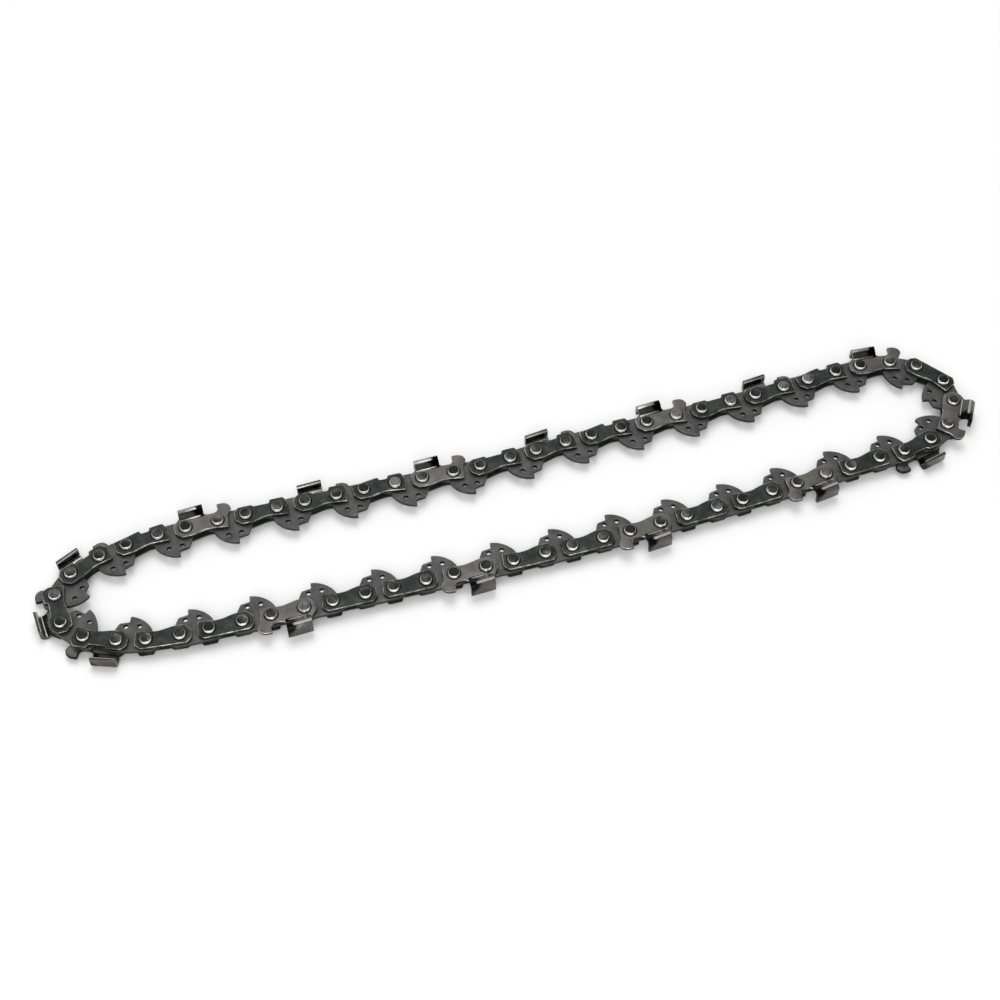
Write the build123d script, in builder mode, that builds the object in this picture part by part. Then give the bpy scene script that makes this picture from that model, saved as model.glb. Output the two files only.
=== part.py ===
from build123d import *
import os
from math import cos, radians, sin, sqrt

os.makedirs("parts", exist_ok=True)

# A closed loop of low-profile saw chain that lies flat on its side. Sizes are in mm.
# Drive links and strap links take turns. Each strap link is an upper and a lower plate on two rivets.
# Z is up, 0 is the surface the loop lies on, and X runs along the loop.
# In its own plane each link has x along the way the chain runs and y away from the inside of the loop.

# The chain
PAIRS = 33                # drive links, and as many strap links
DRIVE_PITCH = 8.65        # between a drive link's rivets
STRAP_PITCH = 9.95        # between a strap link's rivets
HEAD_SIDES = 8            # rivet heads and the holes are drawn with straight sides
HUB_SIDES = 6
OIL_SIDES = 5
# Strap links in running order: U has an upper cutter and L or l a lower one; the others have two plain plates.
# The upper plate of an s or l link has a straight back, that of p or L a notched one, and that of r a ramp.
KINDS = "UlsUssUssUssUssll" + "LrUpLrUpLrUpLrU" + "s"

# Heights, outwards from the middle of the drive links
DRIVE_GAUGE = 1.27        # thickness of a drive link
SIDE_PLAY = 0.05          # between a drive link and each plate
PLATE = 1.15              # thickness of straps and cutters
HEAD_HEIGHT = 1.0         # of a rivet head
KERF = 0.2                # how far a cutter stands out past the rivet heads

# Rivets
HEAD_RADIUS = 2.0
HUB_RADIUS = 2.3          # the rivet's middle, which a drive link turns on
HUB_PLAY = 0.05           # between hub and drive link

# Drive link
LINK_GAP = 1.3            # between the ears of two drive links
EAR_FLAT = 1.6
DRIVE_BACK = 3.3          # rivet line to outer edge
TANG_DEPTH = 8.7          # rivet line to the tip of the tang
TANG_TIP = 5.1            # tail rivet to the tip, along the link
TANG_ROOT = 2.4           # rivet line to where the tang starts
TANG_REAR = 1.9           # the tang's start behind the tail rivet
TANG_CHORDS = 4           # straight stretches of its rounded back
TANG_FULLNESS = 1.7       # of that back: 2 is a quarter of an ellipse and 1 is straight
STEP_DEPTH = 6.8          # the step in front of the tip
STEP_LENGTH = 3.2
STEP_RISE = 0.4
STEP_BACK = 0.2
OIL_RADIUS = 0.8
OIL_WALL = 0.7            # metal left between an oil hole and the step
OIL_INSET = 2.3           # each oil hole to its rivet, along the link

# Straps
STRAP_GAP = 1.7           # between the ends of two straps
END_FLAT = 1.4            # half of a strap's blunt end
LOBE = 3.3                # rivet line to the inner edge at the tail
LOBE_FLAT = 1.6
WAIST = 2.2               # rivet line to the inner edge between the rivets
WAIST_SETBACK = 3.4       # waist to the nose rivet
NOSE_LOBE = 3.1           # rivet line to the inner edge at the nose
NOSE_REACH = 2.9
STRAP_BACK = 3.05         # rivet line to a straight outer edge
BACK_FLAT = 2.0
HUMP = 3.55               # outer edge at the nose of a notched strap
HUMP_REACH = 2.4
NOTCH = 2.35              # outer edge in the notch
NOTCH_SLOPE = 0.4
NOTCH_BEFORE = 1.8        # notch to the nose rivet
NOTCH_AFTER = 2.4         # tail rivet to the notch
RAMP_AFTER = 5.0          # tail rivet to the high end of a ramp
RAMP_FOOT = 2.1

# Cutters
CUTTER_REAR = 1.4         # top plate behind the tail rivet
CUTTER_LENGTH = 7.7
CUTTER_HEIGHT = 7.3       # rivet line to the top plate's outer face
CUTTER_DROP = 4.5         # width of the top plate, across the chain
FLARE_ROOT = 3.2          # where the plate leaves the chain's side
FLARE_RUN = 2.2
BEND = 1.0
RELIEF = 0.5              # the top plate's fall towards its rear
GULLET = 3.1              # rivet line to the floor of the gullet
GULLET_SLOPE = 0.9
GAUGE_HEIGHT = 6.1        # rivet line to the top of the depth gauge
GAUGE_BACK = 0.7          # depth gauge in front of the nose rivet
GAUGE_TOP = 2.2
GAUGE_REACH = 4.9
GAUGE_SHOULDER = 3.7
GAUGE_BULGE = 0.4         # how far its rounded front stands out

# How the loop lies: places that its rivets pass, in running order from the right-hand end
LIE = [
    (145.5, 6), (145.2, -2.5), (139.3, -10.7), (131.4, -14.7), (112, -16.7), (94, -17.7), (66, -19.4), (38, -20.2),
    (1, -20.5), (-36, -19.5), (-73, -18.4), (-101, -17.3), (-120, -15.6), (-128.5, -13.4), (-137.5, -9.2),
    (-143, -2.5), (-143, 7.4), (-137, 13.8), (-128, 17.4), (-110, 20), (-91, 20), (-54, 18.8), (-27, 17.4),
    (-8, 16.7), (20, 17.8), (57, 17.8), (94, 18.6), (113, 19.5), (122, 19.6), (132, 18.2), (139.7, 14.1),
]
LIE_SAMPLES = 2400

# Worked out from the sizes above
STRAP_END = (DRIVE_PITCH - STRAP_GAP) / 2
EAR = (STRAP_PITCH - LINK_GAP) / 2
OIL_DEPTH = STEP_DEPTH - OIL_WALL - OIL_RADIUS
FACE_IN = DRIVE_GAUGE / 2 + SIDE_PLAY
FACE_OUT = FACE_IN + PLATE
HEAD_TOP = FACE_OUT + HEAD_HEIGHT
CREST = HEAD_TOP + KERF
MIDDLE = CREST
CUTTER_FRONT = CUTTER_LENGTH - CUTTER_REAR


def walk(lie, size):
    """Lays the chain along the lie, made larger by size. Gives its rivets and the laps it takes."""
    rivets = [lie[0] * size]
    passed = 0
    share = 0
    for step in range(2 * PAIRS):
        pitch = STRAP_PITCH if step % 2 else DRIVE_PITCH
        here = rivets[-1]
        while abs(lie[(passed + 1) % len(lie)] * size - here) < pitch:
            passed += 1
        near = lie[passed % len(lie)] * size
        along = lie[(passed + 1) % len(lie)] * size - near
        back = near - here
        dot = (along.conjugate() * back).real
        share = (sqrt(dot**2 + abs(along) ** 2 * (pitch**2 - abs(back) ** 2)) - dot) / abs(along) ** 2
        rivets.append(near + along * share)
    return rivets[:-1], (passed + share) / len(lie)


def lay_loop():
    """The rivets of the closed loop, as complex numbers x + yj."""
    curve = Spline(*LIE, periodic=True)
    lie = [complex(place.X, place.Y) for place in curve.positions([n / LIE_SAMPLES for n in range(LIE_SAMPLES)])]
    small = 0.7
    large = 1.4
    while large - small > 1e-9:
        size = (small + large) / 2
        if walk(lie, size)[1] > 1:
            small = size
        else:
            large = size
    return walk(lie, large)[0]


def strap_belly():
    """The inner edge of a strap or cutter, from tail to nose."""
    return [
        (-STRAP_END, -END_FLAT),
        (-LOBE_FLAT, -LOBE),
        (LOBE_FLAT, -LOBE),
        (STRAP_PITCH - WAIST_SETBACK, -WAIST),
        (STRAP_PITCH + NOSE_REACH, -NOSE_LOBE),
    ]


def strap_nose():
    """The outer edge at the nose of a notched or ramped strap, back to the notch's floor."""
    return [
        (STRAP_PITCH + STRAP_END, END_FLAT),
        (STRAP_PITCH + HUMP_REACH, HUMP),
        (STRAP_PITCH - NOTCH_BEFORE, HUMP),
        (STRAP_PITCH - NOTCH_BEFORE - NOTCH_SLOPE, NOTCH),
    ]


def straight_strap():
    return strap_belly() + [
        (STRAP_PITCH + STRAP_END, END_FLAT),
        (STRAP_PITCH + BACK_FLAT, STRAP_BACK),
        (-BACK_FLAT, STRAP_BACK),
        (-STRAP_END, END_FLAT),
    ]


def notched_strap():
    return strap_belly() + strap_nose() + [
        (NOTCH_AFTER + NOTCH_SLOPE, NOTCH),
        (NOTCH_AFTER, STRAP_BACK),
        (-BACK_FLAT, STRAP_BACK),
        (-STRAP_END, END_FLAT),
    ]


def ramped_strap():
    return strap_belly() + strap_nose() + [
        (RAMP_AFTER + NOTCH_SLOPE, NOTCH),
        (RAMP_AFTER, HUMP),
        (-STRAP_END, RAMP_FOOT),
    ]


def cutter_side():
    """A cutter's side plate with its depth gauge and gullet, up to the root of the flare."""
    bulge = (
        STRAP_PITCH + (GAUGE_REACH + GAUGE_BACK + GAUGE_TOP) / 2 + GAUGE_BULGE,
        (GAUGE_SHOULDER + GAUGE_HEIGHT) / 2 + GAUGE_BULGE,
    )
    return strap_belly() + [
        (STRAP_PITCH + STRAP_END, END_FLAT),
        (STRAP_PITCH + GAUGE_REACH, GAUGE_SHOULDER),
        bulge,
        (STRAP_PITCH + GAUGE_BACK + GAUGE_TOP, GAUGE_HEIGHT),
        (STRAP_PITCH + GAUGE_BACK, GAUGE_HEIGHT),
        (STRAP_PITCH + GAUGE_BACK, GULLET + GULLET_SLOPE),
        (STRAP_PITCH + GAUGE_BACK - GULLET_SLOPE, GULLET),
        (CUTTER_FRONT + GULLET_SLOPE, GULLET),
        (CUTTER_FRONT, FLARE_ROOT + PLATE / 2),
        (-CUTTER_REAR, FLARE_ROOT + PLATE / 2),
        (-STRAP_END, END_FLAT),
    ]


def cutter_section(side):
    """A cutter's flare and top plate, cut across the chain; side is 1 for an upper cutter and -1 for a lower one."""
    section = [
        (FLARE_ROOT, FACE_OUT),
        (FLARE_ROOT + FLARE_RUN, CREST),
        (CUTTER_HEIGHT - BEND, CREST),
        (CUTTER_HEIGHT, CREST - BEND),
        (CUTTER_HEIGHT, CREST - CUTTER_DROP),
        (CUTTER_HEIGHT - PLATE, CREST - CUTTER_DROP),
        (CUTTER_HEIGHT - PLATE, CREST - PLATE),
        (FLARE_ROOT + FLARE_RUN + BEND / 3, CREST - PLATE),
        (FLARE_ROOT, FACE_IN),
    ]
    return [(y, side * z) for y, z in section]


def link_plane(tail, nose):
    along = nose - tail
    return Plane(origin=(tail.real, tail.imag, MIDDLE), x_dir=(along.real, along.imag, 0), z_dir=(0, 0, 1))


def add_plate(plane, outline, side):
    """Adds a plate on the upper side of the chain for side 1, or on its lower side for -1."""
    with BuildSketch(plane.offset(FACE_IN if side > 0 else -FACE_OUT)) as face:
        with BuildLine():
            Polyline(*outline, close=True)
        make_face()
    extrude(face.sketch, amount=PLATE)


def add_top_plate(plane, side):
    """Adds a cutter's flare and top plate, which fall a little towards the rear."""
    front = plane.origin + plane.x_dir * CUTTER_FRONT
    rearward = plane.x_dir * -CUTTER_LENGTH + plane.y_dir * -RELIEF
    with BuildSketch(Plane(origin=front, x_dir=plane.y_dir, z_dir=plane.x_dir)) as face:
        with BuildLine():
            Polyline(*cutter_section(side), close=True)
        make_face()
    extrude(face.sketch, amount=rearward.length, dir=rearward)


def add_rivets(plane):
    """Adds the hubs of a strap link's two rivets, and their heads on both plates."""
    for height, radius, sides, length in (
        (-HEAD_TOP, HEAD_RADIUS, HEAD_SIDES, HEAD_HEIGHT),
        (-FACE_IN, HUB_RADIUS, HUB_SIDES, 2 * FACE_IN),
        (FACE_OUT, HEAD_RADIUS, HEAD_SIDES, HEAD_HEIGHT),
    ):
        with BuildSketch(plane.offset(height)) as faces:
            with Locations((0, 0), (STRAP_PITCH, 0)):
                RegularPolygon(radius, sides)
        extrude(faces.sketch, amount=length)


def drive_outline():
    """A drive link's outline from its outer edge, round the tail, the tang and the nose."""
    tang = []
    for n in range(TANG_CHORDS + 1):
        turn = radians(90 * n / TANG_CHORDS)
        x = TANG_TIP - (TANG_TIP + TANG_REAR) * abs(cos(turn)) ** (2 / TANG_FULLNESS)
        y = -TANG_ROOT - (TANG_DEPTH - TANG_ROOT) * sin(turn) ** (2 / TANG_FULLNESS)
        tang.append((x, y))
    return [
        (DRIVE_PITCH + EAR_FLAT, DRIVE_BACK),
        (-EAR_FLAT, DRIVE_BACK),
        (-EAR, EAR_FLAT),
        (-EAR, -EAR_FLAT),
        *tang,
        (TANG_TIP + STEP_BACK, -STEP_DEPTH),
        (TANG_TIP + STEP_LENGTH, -STEP_DEPTH + STEP_RISE),
        (DRIVE_PITCH + TANG_REAR, -TANG_ROOT),
        (DRIVE_PITCH + EAR, -EAR_FLAT),
        (DRIVE_PITCH + EAR, EAR_FLAT),
    ]


# The upper and lower plate of each kind of strap link
upper = {"U": cutter_side(), "s": straight_strap(), "l": straight_strap(), "r": ramped_strap()}
upper |= {"p": notched_strap(), "L": notched_strap()}
lower = {kind: cutter_side() if kind in "Ll" else notched_strap() for kind in upper}

# Puts the middle of the loop's box at the origin
rivets = lay_loop()
count = len(rivets)
reach = []
for n in range(count):
    kind = KINDS[n // 2]
    outline = upper[kind] + lower[kind] if n % 2 else drive_outline()
    if n % 2 and kind in "ULl":
        outline = outline + [(CUTTER_FRONT, CUTTER_HEIGHT), (-CUTTER_REAR, CUTTER_HEIGHT - RELIEF)]
    along = rivets[(n + 1) % count] - rivets[n]
    reach += [rivets[n] + along / abs(along) * complex(*place) for place in outline]
across = [place.real for place in reach]
deep = [place.imag for place in reach]
centre = complex(max(across) + min(across), max(deep) + min(deep)) / 2
rivets = [place - centre for place in rivets]

# Drive links
for n in range(PAIRS):
    name = f"drive_link_{n + 1:02d}"
    plane = link_plane(rivets[2 * n], rivets[2 * n + 1])
    with BuildPart() as drive_link:
        with BuildSketch(plane.offset(-DRIVE_GAUGE / 2)):
            with BuildLine():
                Polyline(*drive_outline(), close=True)
            make_face()
            with Locations((0, 0), (DRIVE_PITCH, 0)):
                RegularPolygon(HUB_RADIUS + HUB_PLAY, HUB_SIDES, major_radius=False, mode=Mode.SUBTRACT)
            with Locations((OIL_INSET, -OIL_DEPTH), (DRIVE_PITCH - OIL_INSET, -OIL_DEPTH)):
                RegularPolygon(OIL_RADIUS, OIL_SIDES, mode=Mode.SUBTRACT)
        extrude(amount=DRIVE_GAUGE)
    drive_link.part.label = name
    export_step(drive_link.part, f"parts/{name}.step")

# Strap links: a cutter link is a node of its own, and plain links of one form share a node
plain_names = {"s": "straight_strap_links", "p": "notched_strap_links", "r": "ramped_strap_links"}
plain_links = {"s": [], "p": [], "r": []}
for n in range(PAIRS):
    kind = KINDS[n]
    plane = link_plane(rivets[2 * n + 1], rivets[(2 * n + 2) % count])
    with BuildPart() as strap_link:
        add_plate(plane, upper[kind], 1)
        add_plate(plane, lower[kind], -1)
        if kind in "ULl":
            add_top_plate(plane, 1 if kind == "U" else -1)
        add_rivets(plane)
    if kind in "ULl":
        name = f"right_cutter_{n + 1:02d}" if kind == "U" else f"left_cutter_{n + 1:02d}"
        strap_link.part.label = name
        export_step(strap_link.part, f"parts/{name}.step")
    else:
        plain_links[kind].append(strap_link.part.solid())

for kind, name in plain_names.items():
    with BuildPart() as plain_group:
        add(plain_links[kind])
    plain_group.part.label = name
    export_step(plain_group.part, f"parts/{name}.step")
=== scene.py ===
from math import cos, pi, radians, sin

import bmesh
import bpy
from mathutils import Matrix, Vector


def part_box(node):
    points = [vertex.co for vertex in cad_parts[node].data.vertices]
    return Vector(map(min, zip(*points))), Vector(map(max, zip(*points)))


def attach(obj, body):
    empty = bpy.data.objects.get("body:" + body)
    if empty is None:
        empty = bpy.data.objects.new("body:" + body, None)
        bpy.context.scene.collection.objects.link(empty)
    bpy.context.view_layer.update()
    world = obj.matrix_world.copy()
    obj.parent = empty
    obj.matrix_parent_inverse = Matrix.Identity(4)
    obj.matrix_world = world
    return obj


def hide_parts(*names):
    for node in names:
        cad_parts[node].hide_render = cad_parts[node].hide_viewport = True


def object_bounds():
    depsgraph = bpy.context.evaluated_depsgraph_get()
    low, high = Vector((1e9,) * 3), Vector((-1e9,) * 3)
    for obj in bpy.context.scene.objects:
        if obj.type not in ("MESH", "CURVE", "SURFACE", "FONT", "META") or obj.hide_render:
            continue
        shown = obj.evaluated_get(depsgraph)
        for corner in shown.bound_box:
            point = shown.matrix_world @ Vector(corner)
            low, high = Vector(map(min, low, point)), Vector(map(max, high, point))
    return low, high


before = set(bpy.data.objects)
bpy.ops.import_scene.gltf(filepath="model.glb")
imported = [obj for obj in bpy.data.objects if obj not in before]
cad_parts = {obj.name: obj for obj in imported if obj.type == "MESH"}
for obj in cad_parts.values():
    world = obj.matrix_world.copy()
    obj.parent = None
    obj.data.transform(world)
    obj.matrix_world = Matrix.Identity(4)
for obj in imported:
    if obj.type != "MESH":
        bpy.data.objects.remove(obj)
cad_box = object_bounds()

# A closed loop of low-profile saw chain, lying on its side. Lengths are in mm and become metres by MM.
# In its own plane a link has x along the way the chain runs, y away from the loop's inside and z up,
# with its tail rivet at the origin and z = 0 in the middle of the drive links.
MM = 0.001

# The chain, as in the solids
DRIVE_PITCH = 8.65
STRAP_PITCH = 9.95
DRIVE_GAUGE = 1.27
SIDE_PLAY = 0.05           # between a drive link and each strap
PLATE = 1.15
FACE_IN = DRIVE_GAUGE / 2 + SIDE_PLAY   # inner face of the straps
FACE_OUT = FACE_IN + PLATE
HEAD_HEIGHT = 1.0
HEAD_TOP = FACE_OUT + HEAD_HEIGHT
CREST = cad_box[1].z / MM / 2   # outermost face of a cutter
HEAD_RADIUS = 2.0
HUB_RADIUS = 2.3
HUB_PLAY = 0.05
BORE_RADIUS = HUB_RADIUS + HUB_PLAY

# Drive links
EAR = 4.325
EAR_FLAT = 1.6
DRIVE_BACK = 3.3
TANG_DEPTH = 8.7
TANG_TIP = 5.1
TANG_ROOT = 2.4
TANG_REAR = 1.9
TANG_FULLNESS = 1.7        # 2 is an ellipse, 1 a straight slope
TANG_CHORDS = 14
STEP_DEPTH = 6.8
STEP_LENGTH = 3.2
STEP_RISE = 0.4
STEP_BACK = 0.2
OIL_RADIUS = 0.72
OIL_DEPTH = 5.3
OIL_INSET = 2.3
EAR_ROUND = 0.8
ROOT_ROUND = 0.5           # where the ears meet the tang
TIP_ROUND = 0.15
STEP_ROUND = 0.25
STEP_END_ROUND = 0.4

# Straps
STRAP_END = 3.475
END_FLAT = 1.4
LOBE = 3.3
LOBE_FLAT = 1.6
WAIST = 2.2
WAIST_SETBACK = 3.4
NOSE_LOBE = 3.1
NOSE_REACH = 2.9
STRAP_BACK = 3.05
BACK_FLAT = 2.0
HUMP = 3.55
HUMP_REACH = 2.4
NOTCH = 2.35
NOTCH_SLOPE = 0.4
NOTCH_BEFORE = 1.8
NOTCH_AFTER = 2.4
RAMP_AFTER = 5.0
RAMP_FOOT = 2.1
CORNER_ROUND = 0.35        # corners that have no rounding of their own
BELLY_ROUND = 1.0
WAIST_ROUND = 1.4
BACK_ROUND = 0.6
HUMP_ROUND = 0.5
NOTCH_ROUND = 0.4

# Cutters
CUTTER_REAR = 1.4
CUTTER_LENGTH = 7.7
CUTTER_FRONT = CUTTER_LENGTH - CUTTER_REAR
CUTTER_HEIGHT = 7.3
CUTTER_DROP = 4.5
FLARE_ROOT = 3.2
FLARE_RUN = 2.2
FLARE_LAP = 1.2            # how far the flare's foot is laid into the plate
FLARE_SINK = 0.04
BEND = 1.0
RELIEF = 0.5
GULLET = 3.1
GULLET_SLOPE = 0.9
GAUGE_HEIGHT = 6.1
GAUGE_BACK = 0.7
GAUGE_TOP = 2.2
GAUGE_REACH = 4.9
GAUGE_SHOULDER = 3.7
GAUGE_BULGE = 0.4
GAUGE_ROUND = 0.6
GULLET_ROUND = 0.5
FOOT_BEND = 0.8            # outer bends of the flare and top plate, from the foot to the outer corner
CREST_BEND = 0.7
CORNER_BEND = 0.55
INNER_BEND = 0.3
LIP_EDGE = 0.15            # outer rounding of the top plate's free edge

# Finish of the edges, rivet heads and cutters
STRAP_ROUND = 0.2          # worn radius along the edges
SEAM_ROUND = 0.28          # the same along the inner edges, coloured dark as dried oil and painted shade of the gap
SEAM_HEIGHT = 0.35         # how far that dark colour runs up the wall above that
SEAM_STEP = 0.01
DRIVE_ROUND = 0.12
CHROME_ROUND = 0.1
HEAD_FLAT = 1.62           # radius of a rivet head's flat top
HEAD_BROW = 0.07           # rounding between its top and its side
HEAD_SHOULDER = 1.95       # radius where the burnished part of its side starts
HEAD_BURNISH = 0.7         # height of that part
HEAD_CROWN = 0.04          # rise of the flat towards its middle
CROWN_RING = 0.972         # radius where two thirds of that rise are reached
OIL_SHADE_RADIUS = 2.3         # the dark ring round a head: dried oil and painted shade at its foot
OIL_SHADE_RISE = 0.03
ROOT_HIGHLIGHT = 0.22         # half width of the painted highlight along the flare's root
CREST_HIGHLIGHT = (5.35, 6.25)  # where the painted highlight along the crest starts and ends
FRONT_SHADE = "#101010"         # painted shade on the corner behind the cutting edge, for the shadow seen into the gullet
FRONT_SHADE_SLANT = 0.9         # how the painted shade narrows away from the crest, mm per mm
LIP_ROUND = 0.45           # inner rounding of the top plate's free edge
HOLLOW_ROUND = 0.9         # the hollow inside its bend
HOLLOW_FLAT = 0.95         # how far inside the top plate's wall the flare ends

# Grain of the steel
GRAIN_DEPTH = 0.02         # height of the tumbled grain
GLOSS_SPREAD = 0.07        # how far the grain carries the roughness up and down
NOISE_SPAN = (0.3, 0.7)    # the values between which nearly all of a noise lies

# Fineness of the meshes
RING = 32                  # steps round a rivet
BORE_STEPS = 28            # steps round a rivet's hole
OIL_STEPS = 20             # steps round an oil hole
CORNER_STEPS = 5           # steps round a corner
WORN_STEPS = (0.13, 0.37, 0.5)  # a worn edge's quarter round, as shares of its radius
SHARP = 50                 # degrees at which two faces meet in a crease
UPWARD = 0.5               # least rise of a face that is taken as facing out
ENDWARD = 0.1              # most lean towards the ends of a face that runs lengthwise
SAME_SPOT = 0.01           # mm within which two places are one
MERGE = 0.001              # mm within which corners are joined

# The photograph: a square frame seen from the front left, looking down
CAMERA_PLACE = (-101.18, -310.36, 463.86)
CAMERA_HEADING = 16.86     # degrees from +Y towards +X
CAMERA_FALL = 54.56        # degrees below the horizon
CAMERA_LENS = 65.6
CAMERA_SENSOR = 36.0


def linear(code):
    """An sRGB hex colour as linear RGBA."""
    channels = [int(code[i:i + 2], 16) / 255 for i in (1, 3, 5)]
    return (*(c / 12.92 if c <= 0.04045 else ((c + 0.055) / 1.055) ** 2.4 for c in channels), 1.0)


def node(tree, kind, settings=None, links=None, stops=(), **values):
    """Adds a node: settings are its properties, values its input sockets, links the sockets that feed it.

    stops are the (position, hex) steps of its colour ramp.
    """
    made = tree.nodes.new(kind)
    for name, value in (settings or {}).items():
        setattr(made, name, value)
    for name, value in values.items():
        made.inputs[name.replace("_", " ")].default_value = value
    for name, source in (links or {}).items():
        tree.links.new(source, made.inputs[name])
    for n, (position, code) in enumerate(stops):
        step = made.color_ramp.elements[n] if n < 2 else made.color_ramp.elements.new(position)
        step.position = position
        step.color = linear(code)
    return made


def steel(name, tones, metallic, roughness, grain=0.35, blotch=3.0, bump=0.25, shine=0.5, shaded_front=None):
    """A steel whose tone drifts over blotches of that many mm, with fine tumbled grain in its gloss.

    tones are its (position, hex) steps from dark to pale. shine is the gloss of what isn't metal on it.
    The painted shade at the front corner, for the shadow seen into the gullet, starts to fade and is gone
    at the two distances behind the cutting edge, in mm, given by its last argument.
    """
    material = bpy.data.materials.new(name)
    material.use_nodes = True
    tree = material.node_tree
    shader = tree.nodes["Principled BSDF"]
    place = node(tree, "ShaderNodeTexCoord").outputs["Object"]
    cloud = node(
        tree, "ShaderNodeTexNoise", None, {"Vector": place},
        Scale=1 / (blotch * MM), Detail=4.0, Roughness=0.6,
    )
    fine = node(
        tree, "ShaderNodeTexNoise", None, {"Vector": place},
        Scale=1 / (grain * MM), Detail=2.0, Roughness=0.5,
    )
    colour = node(tree, "ShaderNodeValToRGB", None, {"Fac": cloud.outputs["Fac"]}, tones).outputs["Color"]
    if shaded_front:
        behind = node(tree, "ShaderNodeAttribute", {"attribute_name": "behind_edge"})
        clean = node(
            tree, "ShaderNodeMapRange", None, {"Value": behind.outputs["Fac"]},
            From_Min=shaded_front[0] / CUTTER_LENGTH, From_Max=shaded_front[1] / CUTTER_LENGTH,
        )
        colour = node(
            tree, "ShaderNodeMixRGB", None, {"Fac": clean.outputs["Result"], "Color2": colour},
            Color1=linear(FRONT_SHADE),
        ).outputs["Color"]
    tree.links.new(colour, shader.inputs["Base Color"])
    gloss = node(
        tree, "ShaderNodeMapRange", None, {"Value": fine.outputs["Fac"]},
        From_Min=NOISE_SPAN[0], From_Max=NOISE_SPAN[1],
        To_Min=roughness - GLOSS_SPREAD, To_Max=roughness + GLOSS_SPREAD,
    )
    tree.links.new(gloss.outputs["Result"], shader.inputs["Roughness"])
    relief = node(
        tree, "ShaderNodeBump", None, {"Height": fine.outputs["Fac"]},
        Strength=bump, Distance=GRAIN_DEPTH * MM,
    )
    tree.links.new(relief.outputs["Normal"], shader.inputs["Normal"])
    shader.inputs["Metallic"].default_value = metallic
    shader.inputs["Specular IOR Level"].default_value = shine
    return material


# Tumbled and blackened strap steel: near black with an oily sheen
strap_face = steel(
    "blackened_strap_steel", ((0.3, "#2e302f"), (0.5, "#3d3f3e"), (0.72, "#525452")), 0.8, 0.42,
)
# The worn edges of the straps, where the blacking is rubbed off to bright steel
strap_edge = steel(
    "rubbed_strap_edge", ((0.36, "#51524e"), (0.5, "#92938d"), (0.62, "#cdcdc7")), 1.0, 0.3,
)
# The sheared walls of straps and cutters: a dull grey, a little paler than the straps' faces
strap_wall = steel(
    "sheared_strap_wall", ((0.3, "#363834"), (0.5, "#484a45"), (0.72, "#62645e")), 0.9, 0.4,
)
# Drive links: plain hardened steel, a mid grey with a soft satin
drive_face = steel(
    "tumbled_drive_link_steel", ((0.3, "#4d4e4d"), (0.5, "#5d5e5d"), (0.72, "#6e6f6d")), 0.8, 0.46,
    blotch=4.0,
)
# Their worn edges are hardly paler than their faces
drive_edge = steel(
    "sheared_drive_link_edge", ((0.3, "#4a4b4a"), (0.5, "#5e5f5e"), (0.72, "#747574")), 0.9, 0.42,
)
# Their sheared walls are darkened as painted shade, for the shade that falls between the straps
drive_wall_shade = steel(
    "painted_shade_drive_link_wall", ((0.3, "#242525"), (0.5, "#303131"), (0.72, "#3f4040")), 0.7, 0.5,
)
# The walls of the punched holes are near black as painted shade, for the shade inside the holes
drive_bore_shade = steel(
    "painted_shade_hole_wall", ((0.3, "#0b0b0b"), (0.5, "#111111"), (0.72, "#1a1a1a")), 0.0, 0.8, shine=0.1,
)
# Cutter side plates: steel with a slight warm cast from hardening
cutter_face = steel(
    "hardened_cutter_steel", ((0.3, "#62615b"), (0.5, "#71706a"), (0.72, "#82817a")), 0.85, 0.4, blotch=5.0,
)
# Hard chrome on the flare and top plate: dark and glossy, with painted shade behind the cutting edge, for
# the shadow seen into the gullet
cutter_chrome = steel(
    "hard_chrome_plate", ((0.3, "#52514e"), (0.5, "#5d5c58"), (0.72, "#6a6964")), 1.0, 0.25,
    bump=0.05, blotch=5.0, shaded_front=(2.8, 4.2),
)
# The bends of the chrome are pale as painted highlight, for the bright lines of light they catch; they too
# take the painted shade behind the cutting edge
cutter_bend_highlight = steel(
    "painted_highlight_chrome_bend", ((0.3, "#a9a9a4"), (0.5, "#b9b9b4"), (0.72, "#cbcbc6")), 1.0, 0.3,
    bump=0.0, blotch=5.0, shaded_front=(1.8, 2.5),
)
# Inside the bend a pale steel as painted highlight, for a bright line along the hollow
cutter_hollow_highlight = steel(
    "painted_highlight_cutter_hollow", ((0.3, "#d0d0cb"), (0.5, "#dededa"), (0.72, "#ecece8")), 1.0, 0.3,
    bump=0.0, blotch=5.0,
)
# Rivet heads: spun flat on top, some dark with oil and some wiped clean
rivet_face = steel(
    "spun_rivet_head", ((0.46, "#2c2c2b"), (0.54, "#4b4b49"), (0.63, "#80807d")), 0.85, 0.38, blotch=9.0,
)
# The burnished side of a rivet head is the brightest steel on the chain
rivet_rim = steel(
    "burnished_rivet_rim", ((0.3, "#dcdcd8"), (0.5, "#e9e9e5"), (0.72, "#f4f4f0")), 1.0, 0.22,
)
# Dried oil and painted shade: a black line round the heads and under the plates, darker than oil alone, for
# the contact shadow there
oil_and_shade = steel(
    "dried_oil_and_painted_shade", ((0.3, "#0e0e0d"), (0.5, "#161615"), (0.72, "#20201e")), 0.0, 0.6, shine=0.1,
)

STRAP_FACE, STRAP_EDGE, STRAP_WALL, CUTTER_FACE, CUTTER_CHROME, CUTTER_BEND_HIGHLIGHT, CUTTER_HOLLOW_HIGHLIGHT = range(7)
RIVET_FACE, RIVET_RIM, OIL_AND_SHADE = range(7, 10)
LINK_MATERIALS = [
    strap_face, strap_edge, strap_wall, cutter_face, cutter_chrome, cutter_bend_highlight, cutter_hollow_highlight,
    rivet_face, rivet_rim, oil_and_shade,
]
DRIVE_FACE, DRIVE_EDGE, DRIVE_WALL_SHADE, DRIVE_BORE_SHADE = range(4)
DRIVE_MATERIALS = [drive_face, drive_edge, drive_wall_shade, drive_bore_shade]


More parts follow.
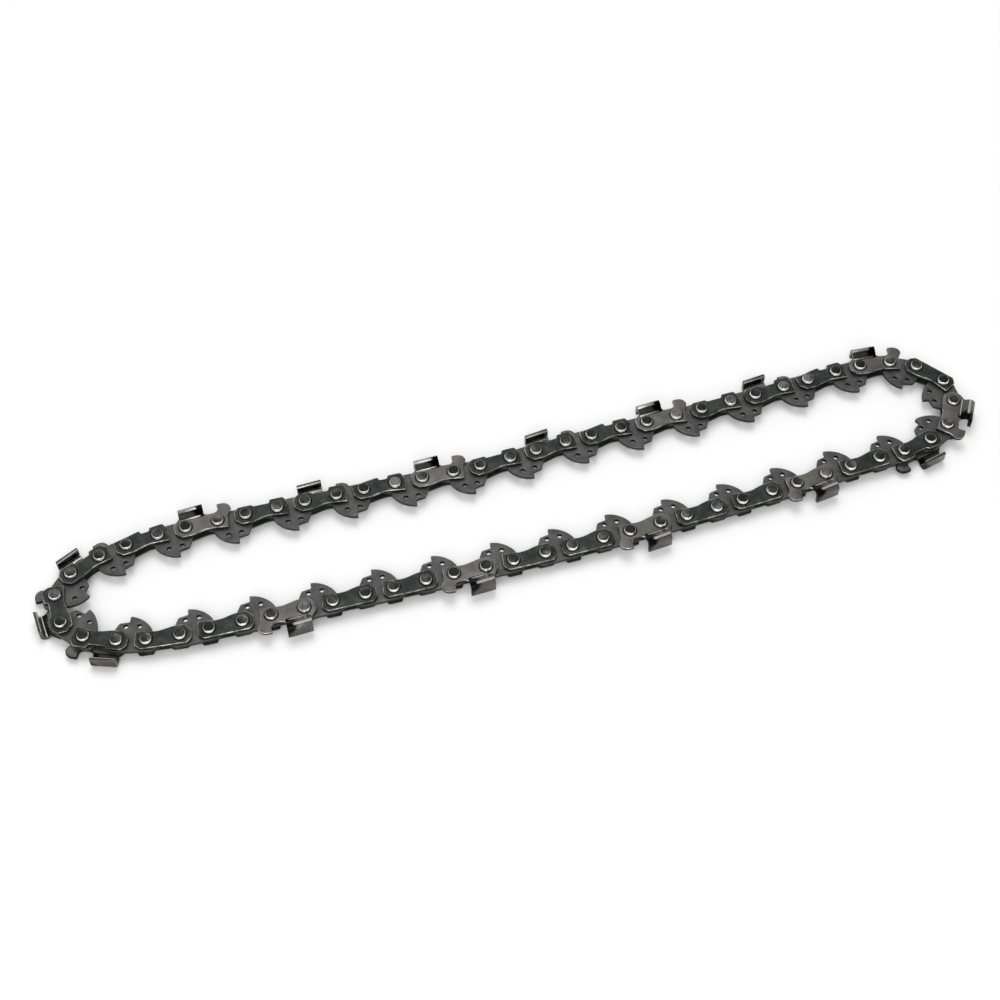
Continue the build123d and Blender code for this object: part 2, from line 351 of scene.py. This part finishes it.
def slab(outline, thickness, worn, face, edge, wall, holes=(), bore=0, seam=None):
    """A stamped plate from z = 0 up, with its edges worn to that radius.

    outline holds (x, y, rounding) and holes (x, y, radius, steps). face, edge, wall and bore are material
    indices. seam is that of the dark lower edge, dried oil and painted shade of the gap, where that isn't
    as the upper one.
    """
    quarter_round = list(zip(WORN_STEPS, reversed(WORN_STEPS)))
    worn_above = [(worn * inward, worn * outward) for inward, outward in quarter_round]
    worn_below = worn_above
    if seam is not None:
        worn_below = [(SEAM_STEP, SEAM_HEIGHT)]
        worn_below += [(SEAM_ROUND * inward, SEAM_ROUND * outward) for inward, outward in quarter_round]
    depth_above = sum(outward for _, outward in worn_above)
    depth_below = sum(outward for _, outward in worn_below)
    bm = bmesh.new()
    corners = [bm.verts.new((x, y, 0)) for x, y, _ in outline]
    bm.faces.new(corners)
    roundings = {}
    for corner, (_, _, rounding) in zip(corners, outline):
        if rounding:
            roundings.setdefault(rounding, []).append(corner)
    for rounding, rounded in roundings.items():
        bmesh.ops.bevel(
            bm, geom=rounded, offset=rounding, offset_type="OFFSET", segments=CORNER_STEPS, profile=0.5,
            affect="VERTICES", clamp_overlap=True, material=-1,
        )
    bmesh.ops.remove_doubles(bm, verts=bm.verts[:], dist=MERGE)
    if holes:
        bmesh.ops.delete(bm, geom=bm.faces[:], context="FACES_ONLY")
        for x, y, radius, steps in holes:
            bmesh.ops.create_circle(
                bm, cap_ends=False, radius=radius, segments=steps, matrix=Matrix.Translation((x, y, 0)),
            )
        bmesh.ops.triangle_fill(
            bm, use_beauty=True, use_dissolve=False, edges=bm.edges[:], normal=(0, 0, 1),
        )
    below = bm.faces[:]
    grown = bmesh.ops.extrude_face_region(bm, geom=below)["geom"]
    risen = [part for part in grown if isinstance(part, bmesh.types.BMVert)]
    bmesh.ops.translate(bm, verts=risen, vec=(0, 0, thickness - depth_above - depth_below))
    bmesh.ops.translate(bm, verts=bm.verts[:], vec=(0, 0, depth_below))
    bmesh.ops.recalc_face_normals(bm, faces=bm.faces[:])
    top = [part for part in grown if isinstance(part, bmesh.types.BMFace)]
    for side in bm.faces:
        spot = side.calc_center_median().xy
        bored = any((spot - Vector((x, y))).length < radius for x, y, radius, _ in holes)
        side.material_index = bore if bored else wall
    for cap, steps, rim in ((below, worn_below, edge if seam is None else seam), (top, worn_above, edge)):
        for flat in cap:
            flat.material_index = rim
        for inward, outward in steps:
            bmesh.ops.inset_region(
                bm, faces=cap, use_boundary=True, use_even_offset=True, thickness=inward, depth=outward,
            )
        for flat in cap:
            flat.material_index = face
    return bm


def turned(profile):
    """A rivet turned about z from (radius, height, material) points; a material runs to the next point."""
    bm = bmesh.new()
    points = [bm.verts.new((radius, 0, height)) for radius, height, _ in profile]
    lines = [bm.edges.new(pair) for pair in zip(points, points[1:])]
    finishes = [
        (Vector((r + s, h + t)) / 2, material) for (r, h, material), (s, t, _) in zip(profile, profile[1:])
    ]
    bmesh.ops.spin(
        bm, geom=points + lines, axis=(0, 0, 1), cent=(0, 0, 0), angle=2 * pi, steps=RING, use_merge=True,
    )
    bmesh.ops.remove_doubles(bm, verts=bm.verts[:], dist=MERGE)
    bmesh.ops.recalc_face_normals(bm, faces=bm.faces[:])
    for patch in bm.faces:
        spot = patch.calc_center_median()
        place = Vector((spot.xy.length, spot.z))
        patch.material_index = min(finishes, key=lambda finish: (finish[0] - place).length)[1]
    return bm


def gather(name, *parts):
    """One mesh from (bmesh, matrix) parts, which are used up."""
    whole = bmesh.new()
    for bm, matrix in parts:
        bmesh.ops.transform(bm, matrix=matrix, verts=bm.verts[:])
        if matrix.determinant() < 0:
            bmesh.ops.reverse_faces(bm, faces=bm.faces[:])
        patch = bpy.data.meshes.new("patch")
        bm.to_mesh(patch)
        bm.free()
        whole.from_mesh(patch)
        bpy.data.meshes.remove(patch)
    mesh = bpy.data.meshes.new(name)
    whole.to_mesh(mesh)
    whole.free()
    return mesh


def drive_outline():
    """A drive link from its back round the tail, the tang's curve and step, and the nose."""
    tang = []
    for n in range(TANG_CHORDS + 1):
        turn = radians(90 * n / TANG_CHORDS)
        x = TANG_TIP - (TANG_TIP + TANG_REAR) * cos(turn) ** (2 / TANG_FULLNESS)
        y = -TANG_ROOT - (TANG_DEPTH - TANG_ROOT) * sin(turn) ** (2 / TANG_FULLNESS)
        tang.append((x, y, 0))
    tang[-1] = (*tang[-1][:2], TIP_ROUND)
    return [
        (DRIVE_PITCH + EAR_FLAT, DRIVE_BACK, EAR_ROUND),
        (-EAR_FLAT, DRIVE_BACK, EAR_ROUND),
        (-EAR, EAR_FLAT, EAR_ROUND),
        (-EAR, -EAR_FLAT, ROOT_ROUND),
        *tang,
        (TANG_TIP + STEP_BACK, -STEP_DEPTH, STEP_ROUND),
        (TANG_TIP + STEP_LENGTH, -STEP_DEPTH + STEP_RISE, STEP_END_ROUND),
        (DRIVE_PITCH + TANG_REAR, -TANG_ROOT, ROOT_ROUND),
        (DRIVE_PITCH + EAR, -EAR_FLAT, ROOT_ROUND),
        (DRIVE_PITCH + EAR, EAR_FLAT, EAR_ROUND),
    ]


def strap_belly():
    """The side of a strap that faces the loop's inside, which all straps share."""
    return [
        (-STRAP_END, -END_FLAT, CORNER_ROUND),
        (-LOBE_FLAT, -LOBE, CORNER_ROUND),
        (LOBE_FLAT, -LOBE, BELLY_ROUND),
        (STRAP_PITCH - WAIST_SETBACK, -WAIST, WAIST_ROUND),
        (STRAP_PITCH + NOSE_REACH, -NOSE_LOBE, CORNER_ROUND),
    ]


def strap_nose():
    """The humped nose of a strap, down into the notch behind it."""
    return [
        (STRAP_PITCH + STRAP_END, END_FLAT, CORNER_ROUND),
        (STRAP_PITCH + HUMP_REACH, HUMP, HUMP_ROUND),
        (STRAP_PITCH - NOTCH_BEFORE, HUMP, NOTCH_ROUND),
        (STRAP_PITCH - NOTCH_BEFORE - NOTCH_SLOPE, NOTCH, NOTCH_ROUND),
    ]


def straight_strap():
    return strap_belly() + [
        (STRAP_PITCH + STRAP_END, END_FLAT, CORNER_ROUND),
        (STRAP_PITCH + BACK_FLAT, STRAP_BACK, BACK_ROUND),
        (-BACK_FLAT, STRAP_BACK, BACK_ROUND),
        (-STRAP_END, END_FLAT, CORNER_ROUND),
    ]


def notched_strap():
    return strap_belly() + strap_nose() + [
        (NOTCH_AFTER + NOTCH_SLOPE, NOTCH, CORNER_ROUND),
        (NOTCH_AFTER, STRAP_BACK, CORNER_ROUND),
        (-BACK_FLAT, STRAP_BACK, BACK_ROUND),
        (-STRAP_END, END_FLAT, CORNER_ROUND),
    ]


def ramped_strap():
    return strap_belly() + strap_nose() + [
        (RAMP_AFTER + NOTCH_SLOPE, NOTCH, NOTCH_ROUND),
        (RAMP_AFTER, HUMP, NOTCH_ROUND),
        (-STRAP_END, RAMP_FOOT, HUMP_ROUND),
    ]


def cutter_side():
    """A cutter's side plate with its depth gauge and gullet, up to the foot of the flare."""
    bulge = (
        STRAP_PITCH + (GAUGE_REACH + GAUGE_BACK + GAUGE_TOP) / 2 + GAUGE_BULGE,
        (GAUGE_SHOULDER + GAUGE_HEIGHT) / 2 + GAUGE_BULGE,
        GAUGE_ROUND,
    )
    return strap_belly() + [
        (STRAP_PITCH + STRAP_END, END_FLAT, CORNER_ROUND),
        (STRAP_PITCH + GAUGE_REACH, GAUGE_SHOULDER, GULLET_ROUND),
        bulge,
        (STRAP_PITCH + GAUGE_BACK + GAUGE_TOP, GAUGE_HEIGHT, GAUGE_ROUND),
        (STRAP_PITCH + GAUGE_BACK, GAUGE_HEIGHT, CORNER_ROUND),
        (STRAP_PITCH + GAUGE_BACK, GULLET + GULLET_SLOPE, GULLET_ROUND),
        (STRAP_PITCH + GAUGE_BACK - GULLET_SLOPE, GULLET, GULLET_ROUND),
        (CUTTER_FRONT + GULLET_SLOPE, GULLET, CORNER_ROUND),
        (CUTTER_FRONT, FLARE_ROOT + PLATE / 2, CORNER_ROUND),
        (-CUTTER_REAR, FLARE_ROOT + PLATE / 2, CORNER_ROUND),
        (-STRAP_END, END_FLAT, CORNER_ROUND),
    ]


def cutter_section():
    """The flare and top plate cut across the chain: y outwards, then height above the middle."""
    return [
        (FLARE_ROOT - FLARE_LAP, FACE_OUT - FLARE_SINK, 0),
        (FLARE_ROOT, FACE_OUT, FOOT_BEND),
        (FLARE_ROOT + FLARE_RUN, CREST, CREST_BEND),
        (CUTTER_HEIGHT - BEND, CREST, CORNER_BEND),
        (CUTTER_HEIGHT, CREST - BEND, CORNER_BEND),
        (CUTTER_HEIGHT, CREST - CUTTER_DROP, LIP_EDGE),
        (CUTTER_HEIGHT - PLATE, CREST - CUTTER_DROP, LIP_ROUND),
        (CUTTER_HEIGHT - PLATE, CREST - PLATE, HOLLOW_ROUND),
        (CUTTER_HEIGHT - PLATE - HOLLOW_FLAT, CREST - PLATE, 0),
        (FLARE_ROOT, FACE_IN, INNER_BEND),
        (FLARE_ROOT - FLARE_LAP, FACE_IN + FLARE_SINK, 0),
    ]


def rivet():
    """Both heads on the hub, which fills the bores of two drive links."""
    foot = FACE_OUT + OIL_SHADE_RISE
    brow = HEAD_TOP - HEAD_CROWN
    # The foot ring and the lowest part of a head's side are dried oil and painted shade
    half = [
        (HUB_RADIUS, FACE_IN, RIVET_FACE),
        (HEAD_RADIUS, FACE_IN, OIL_AND_SHADE),
        (HEAD_RADIUS, FACE_OUT - OIL_SHADE_RISE, OIL_AND_SHADE),
        (OIL_SHADE_RADIUS, FACE_OUT, OIL_AND_SHADE),
        (HEAD_RADIUS, foot, OIL_AND_SHADE),
        (HEAD_SHOULDER, brow - HEAD_BURNISH, RIVET_RIM),
        (HEAD_FLAT + HEAD_BROW, brow - HEAD_BROW, RIVET_RIM),
        (HEAD_FLAT, brow, RIVET_FACE),
        (CROWN_RING, HEAD_TOP - HEAD_CROWN / 3, RIVET_FACE),
        (0, HEAD_TOP, RIVET_FACE),
    ]
    # Read backwards, each stretch keeps its material
    mirrored = [(r, -h, m) for (r, h, _), (_, _, m) in zip(half[:0:-1], half[-2::-1])]
    return turned(mirrored + [(HUB_RADIUS, -FACE_IN, RIVET_FACE)] + half)


def lift(height):
    return Matrix.Translation((0, 0, height))


def drive_link():
    holes = [(x, 0, BORE_RADIUS, BORE_STEPS) for x in (0, DRIVE_PITCH)]
    holes += [(x, -OIL_DEPTH, OIL_RADIUS, OIL_STEPS) for x in (OIL_INSET, DRIVE_PITCH - OIL_INSET)]
    plate = slab(
        drive_outline(), DRIVE_GAUGE, DRIVE_ROUND, DRIVE_FACE, DRIVE_EDGE, DRIVE_WALL_SHADE, holes, DRIVE_BORE_SHADE,
    )
    return gather("drive_link", (plate, lift(-DRIVE_GAUGE / 2)))


def top_plate():
    """A cutter's flare and top plate, its cutting edge at z = 0 and its length along z."""
    bm = slab(cutter_section(), CUTTER_LENGTH, CHROME_ROUND, CUTTER_CHROME, CUTTER_CHROME, CUTTER_CHROME)
    lip = Vector((CUTTER_HEIGHT - PLATE, CREST - CUTTER_DROP))
    hollow = Vector((CUTTER_HEIGHT - PLATE, CREST - PLATE))
    # Bands along the root, crest and lip get a pale material as painted highlight
    for side in bm.faces:
        spot = side.calc_center_median().xy
        facing_out = side.normal.y > UPWARD
        lengthwise = abs(side.normal.z) < ENDWARD
        at_root = facing_out and abs(spot.x - FLARE_ROOT) < ROOT_HIGHLIGHT
        at_crest = facing_out and CREST_HIGHLIGHT[0] < spot.x < CREST_HIGHLIGHT[1]
        at_lip = lengthwise and (spot - lip).length < LIP_ROUND
        at_hollow = lengthwise and (spot - hollow).length < HOLLOW_ROUND
        if at_root or at_crest or at_lip:
            side.material_index = CUTTER_BEND_HIGHLIGHT
        # The hollow gets a paler one, also painted highlight
        elif at_hollow:
            side.material_index = CUTTER_HOLLOW_HIGHLIGHT
    # behind_edge places the painted shade at the front of the chrome
    behind_edge = bm.verts.layers.float.new("behind_edge")
    for corner in bm.verts:
        corner[behind_edge] = (corner.co.z + FRONT_SHADE_SLANT * (CREST - corner.co.y)) / CUTTER_LENGTH
    return bm


def strap_link(upper, lower, cutter_height=0):
    """Two plates on two rivets. cutter_height is 1 for a cutter above, -1 for one below and 0 for none."""
    parts = []
    for outline, side in ((upper, 1), (lower, -1)):
        face = CUTTER_FACE if side == cutter_height else STRAP_FACE
        plate = slab(outline, PLATE, STRAP_ROUND, face, STRAP_EDGE, STRAP_WALL, seam=OIL_AND_SHADE)
        parts.append((plate, Matrix.Diagonal((1, 1, side, 1)) @ lift(FACE_IN)))
    if cutter_height:
        # The section's y, height and length become the link's y, z and rearward x, and it falls to the rear
        stand = Matrix((
            (0, 0, -1, CUTTER_FRONT),
            (1, 0, -RELIEF / CUTTER_LENGTH, 0),
            (0, cutter_height, 0, 0),
            (0, 0, 0, 1),
        ))
        parts.append((top_plate(), stand))
    for x in (0, STRAP_PITCH):
        parts.append((rivet(), Matrix.Translation((x, 0, 0))))
    return gather("strap_link", *parts)


def head_centres(cad):
    """The places of the upper rivet heads of a node, in mm, from the rings of corners at their tops."""
    height = (CREST + HEAD_TOP) * MM
    rings = []
    for corner in cad.data.vertices:
        if abs(corner.co.z - height) > SAME_SPOT * MM:
            continue
        spot = corner.co.xy / MM
        ring = next((r for r in rings if (spot - r[0]).length < 2 * HEAD_RADIUS + SAME_SPOT), None)
        if ring is None:
            rings.append([spot])
        elif min((spot - other).length for other in ring) > SAME_SPOT:
            ring.append(spot)
    return [sum(ring, Vector((0, 0))) / len(ring) for ring in rings]


def running_order(owners):
    """The rivets in the order the chain runs, which is clockwise from above."""
    left = list(owners)
    order = [left.pop(0)]
    pitch = STRAP_PITCH
    while left:
        nearest = min(left, key=lambda spot: abs((spot - order[-1]).length - pitch))
        order.append(nearest)
        left.remove(nearest)
        pitch = DRIVE_PITCH + STRAP_PITCH - pitch
    area = sum(a.x * b.y - b.x * a.y for a, b in zip(order, order[1:] + order[:1]))
    return order if area < 0 else order[::-1]


def link_matrix(tail, nose):
    """From a link's own plane in mm to the frame in metres."""
    along = (nose - tail).normalized()
    turn = Matrix((
        (along.x, -along.y, 0, tail.x),
        (along.y, along.x, 0, tail.y),
        (0, 0, 1, CREST),
        (0, 0, 0, 1),
    ))
    return Matrix.Scale(MM, 4) @ turn


def piece(name, stands_for, masters, materials):
    """One object from (mesh, matrix) masters, in place of a CAD node."""
    whole = bmesh.new()
    for master, matrix in masters:
        placed = master.copy()
        placed.transform(matrix)
        whole.from_mesh(placed)
        bpy.data.meshes.remove(placed)
    mesh = bpy.data.meshes.new(name)
    whole.to_mesh(mesh)
    whole.free()
    mesh.shade_smooth()
    mesh.set_sharp_from_angle(angle=radians(SHARP))
    for material in materials:
        mesh.materials.append(material)
    made = bpy.data.objects.new(name, mesh)
    bpy.context.scene.collection.objects.link(made)
    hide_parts(stands_for)
    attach(made, "root")


# Every rivet, with the node of the strap link that holds it
owners = {}
for name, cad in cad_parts.items():
    if not name.startswith("drive_link"):
        for spot in head_centres(cad):
            owners[spot.freeze()] = name
rivets = running_order(owners)
masters = {
    "drive_link": drive_link(),
    "right_cutter": strap_link(cutter_side(), notched_strap(), 1),
    "straight_left_cutter": strap_link(straight_strap(), cutter_side(), -1),
    "notched_left_cutter": strap_link(notched_strap(), cutter_side(), -1),
    "straight_strap_links": strap_link(straight_strap(), notched_strap()),
    "notched_strap_links": strap_link(notched_strap(), notched_strap()),
    "ramped_strap_links": strap_link(ramped_strap(), notched_strap()),
}


def strap_form(name, matrix):
    """Which master a strap link takes, from its node's name and, under a lower cutter, its upper plate."""
    if name in masters:
        return name
    if name.startswith("right_cutter"):
        return "right_cutter"
    back = matrix.inverted()
    spots = [back @ corner.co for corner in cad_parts[name].data.vertices]
    reach = max(spot.y for spot in spots if FACE_IN - SAME_SPOT < spot.z < FACE_OUT + SAME_SPOT)
    return "notched_left_cutter" if reach > (STRAP_BACK + HUMP) / 2 else "straight_left_cutter"


# Lays a drive link or a strap link between each two rivets
laid = {}
drives = {}
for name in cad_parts:
    if name.startswith("drive_link"):
        low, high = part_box(name)
        drives[name] = (Vector(low) + Vector(high)) / 2
for tail, nose in zip(rivets, rivets[1:] + rivets[:1]):
    matrix = link_matrix(tail, nose)
    if abs((nose - tail).length - STRAP_PITCH) < abs((nose - tail).length - DRIVE_PITCH):
        name = owners[tail]
        laid.setdefault(name, []).append((masters[strap_form(name, matrix)], matrix))
    else:
        middle = matrix @ Vector((DRIVE_PITCH / 2, (DRIVE_BACK - TANG_DEPTH) / 2, 0))
        name = min(drives, key=lambda n: (drives[n] - middle).length)
        laid.setdefault(name, []).append((masters["drive_link"], matrix))
for name, placed in laid.items():
    if name in drives:
        piece(f"{name}_steel", name, placed, DRIVE_MATERIALS)
    else:
        piece(f"{name}_steel", name, placed, LINK_MATERIALS)
for master in masters.values():
    bpy.data.meshes.remove(master)

# Floor: matt white paper that takes the chain's soft shadow and shows white to the eye and in the metal
FLOOR_SIZE = 6.0           # metres
FLOOR_GLOW = 0.3           # share of the paper's white that no lamp's shadow reaches, close to the chain; the painted contact shadow dims it
SHADOW_REACH = (0.25, 1.2)  # where that share starts to grow, and where it is all of the white, in metres
CONTACT = 4.0              # how far the painted contact shadow reaches: occlusion dims the paper's glow where the chain lies on it
floor_mesh = bpy.data.meshes.new("floor")
floor_bm = bmesh.new()
bmesh.ops.create_grid(floor_bm, x_segments=1, y_segments=1, size=FLOOR_SIZE / 2)
floor_bm.to_mesh(floor_mesh)
floor_bm.free()
floor = bpy.data.objects.new("floor", floor_mesh)
bpy.context.scene.collection.objects.link(floor)
paper = bpy.data.materials.new("white_paper")
paper.use_nodes = True
tree = paper.node_tree
tree.nodes.clear()
matt = node(tree, "ShaderNodeBsdfDiffuse", Color=linear("#ededed"))
# Painted contact shadow: ambient occlusion dims the glow close to the chain
painted_contact_shadow = node(tree, "ShaderNodeAmbientOcclusion", {"samples": 8}, Distance=CONTACT * MM)
glow = node(tree, "ShaderNodeEmission", None, {"Strength": painted_contact_shadow.outputs["AO"]}, Color=linear("#ffffff"))
path = node(tree, "ShaderNodeLightPath")
by_eye_or_metal = node(
    tree, "ShaderNodeMath", {"operation": "MAXIMUM"},
    {0: path.outputs["Is Camera Ray"], 1: path.outputs["Is Glossy Ray"]},
)
seen = node(
    tree, "ShaderNodeMath", {"operation": "MAXIMUM"},
    {0: by_eye_or_metal.outputs[0], 1: path.outputs["Is Transmission Ray"]},
)
place = node(tree, "ShaderNodeTexCoord").outputs["Object"]
away = node(tree, "ShaderNodeVectorMath", {"operation": "LENGTH"}, {0: place})
growth = node(
    tree, "ShaderNodeMapRange", None, {"Value": away.outputs["Value"]},
    From_Min=SHADOW_REACH[0], From_Max=SHADOW_REACH[1], To_Min=FLOOR_GLOW, To_Max=1.0,
)
share = node(
    tree, "ShaderNodeMath", {"operation": "MULTIPLY"}, {0: seen.outputs[0], 1: growth.outputs["Result"]},
)
mixed = node(
    tree, "ShaderNodeMixShader", None, {0: share.outputs[0], 1: matt.outputs[0], 2: glow.outputs[0]},
)
node(tree, "ShaderNodeOutputMaterial", None, {"Surface": mixed.outputs[0]})
floor_mesh.materials.append(paper)

# Studio: a pale room, brighter low down than overhead, and soft lamps
ROOM_TONES = (
    (0.0, "#ffffff"), (0.55, "#ebebeb"), (0.8, "#d9d9d9"),
    (0.93, "#9d9d9d"), (0.97, "#626363"), (1.0, "#585959"),
)
# High on the right the room is darker, which the flats at that end of the chain mirror
RIGHT_FADE = (0.2, 0.33)   # rightward times upward, where the dark starts and where it is full
RIGHT_LEVEL = 0.3
world = bpy.data.worlds.new("studio")
world.use_nodes = True
tree = world.node_tree
tree.nodes.clear()
toward = node(tree, "ShaderNodeTexCoord").outputs["Generated"]
split = node(tree, "ShaderNodeSeparateXYZ", None, {"Vector": toward})
sky = node(tree, "ShaderNodeValToRGB", None, {"Fac": split.outputs["Z"]}, ROOM_TONES)
right_high = node(
    tree, "ShaderNodeMath", {"operation": "MULTIPLY"}, {0: split.outputs["X"], 1: split.outputs["Z"]},
)
fade = node(
    tree, "ShaderNodeMapRange", None, {"Value": right_high.outputs[0]},
    From_Min=RIGHT_FADE[0], From_Max=RIGHT_FADE[1], To_Min=1.0, To_Max=RIGHT_LEVEL,
)
room = node(
    tree, "ShaderNodeBackground", None, {"Color": sky.outputs["Color"], "Strength": fade.outputs["Result"]},
)
node(tree, "ShaderNodeOutputWorld", None, {"Surface": room.outputs[0]})
bpy.context.scene.world = world


def lamp(name, place, size, power, in_metal=True):
    """A square soft box that faces the middle of the chain, in metres and watts.

    in_metal is whether the steel mirrors it.
    """
    light = bpy.data.lights.new(name, "AREA")
    light.size = size
    light.energy = power
    made = bpy.data.objects.new(name, light)
    made.location = place
    made.visible_glossy = in_metal
    made.rotation_euler = Vector(place).to_track_quat("Z", "Y").to_euler()
    bpy.context.scene.collection.objects.link(made)


# Lifts the flats a little
lamp("overhead_box", (0.07, 0.22, 0.97), 0.3, 1.0)
# Lights the walls that face the viewer
lamp("front_box", (-0.3, -0.8, 0.75), 0.7, 5.0)
# Throws the chain's shadow on the paper towards the viewer
lamp("back_box", (0.28, 1.36, 2.66), 1.75, 42.0, in_metal=False)

# Camera
camera = bpy.data.cameras.new("photo_view")
camera.lens = CAMERA_LENS
camera.sensor_width = CAMERA_SENSOR
camera.sensor_fit = "HORIZONTAL"
camera.clip_start = 0.01
viewer = bpy.data.objects.new("photo_view", camera)
viewer.location = Vector(CAMERA_PLACE) * MM
viewer.rotation_euler = (radians(90 - CAMERA_FALL), 0, radians(-CAMERA_HEADING))
bpy.context.scene.collection.objects.link(viewer)
bpy.context.scene.camera = viewer
bpy.context.scene.view_settings.view_transform = "Standard"
